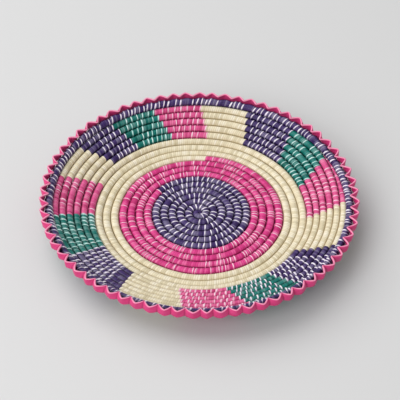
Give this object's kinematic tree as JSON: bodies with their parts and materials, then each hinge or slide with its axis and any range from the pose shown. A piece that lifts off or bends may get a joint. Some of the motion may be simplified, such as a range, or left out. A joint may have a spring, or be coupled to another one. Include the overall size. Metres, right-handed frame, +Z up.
{
  "type": "roti basket",
  "caption": "Round coiled basket with a flat base, a low sloping wall in colour blocks and a pleated zigzag rim edging, for serving flatbread.",
  "frame": {"origin": "centre of the flat base, on the surface that the basket stands on", "axes": "+Z up along the basket's own axis; +X to the right in the picture, towards the pink block whose last row tapers away"},
  "size_m": [0.2977, 0.298, 0.034],
  "materials": {
    "pink_leaf": "dyed palm leaf strip, wrapped and sewn, slight natural sheen",
    "green_leaf": "dyed palm leaf strip, wrapped and sewn, slight natural sheen",
    "purple_leaf": "dyed palm leaf strip, wrapped and sewn, slight natural sheen",
    "natural_leaf": "undyed palm leaf strip, wrapped and sewn, matt",
    "straw": "dry grass straw bundle, matt"
  },
  "bodies": {
    "root": {"purple_centre_wrap": "purple_leaf", "pink_ring_wrap": "pink_leaf", "natural_ring_wrap": "natural_leaf", "straw_bundle": "straw", "pink_wrap_left": "pink_leaf", "green_wrap_left": "green_leaf", "purple_wrap_left": "purple_leaf", "natural_wrap_left": "natural_leaf", "pink_wrap_near": "pink_leaf", "green_wrap_near": "green_leaf", "purple_wrap_near": "purple_leaf", "natural_wrap_near": "natural_leaf", "pink_wrap_right": "pink_leaf", "green_wrap_right": "green_leaf", "purple_wrap_right": "purple_leaf", "natural_wrap_right": "natural_leaf", "pink_wrap_far": "pink_leaf", "green_wrap_far": "green_leaf", "purple_wrap_far": "purple_leaf", "natural_wrap_far": "natural_leaf", "rim_coil_wrap": "purple_leaf", "rim_straw": "straw", "zigzag_edging": "pink_leaf"}
  },
  "joints": []
}
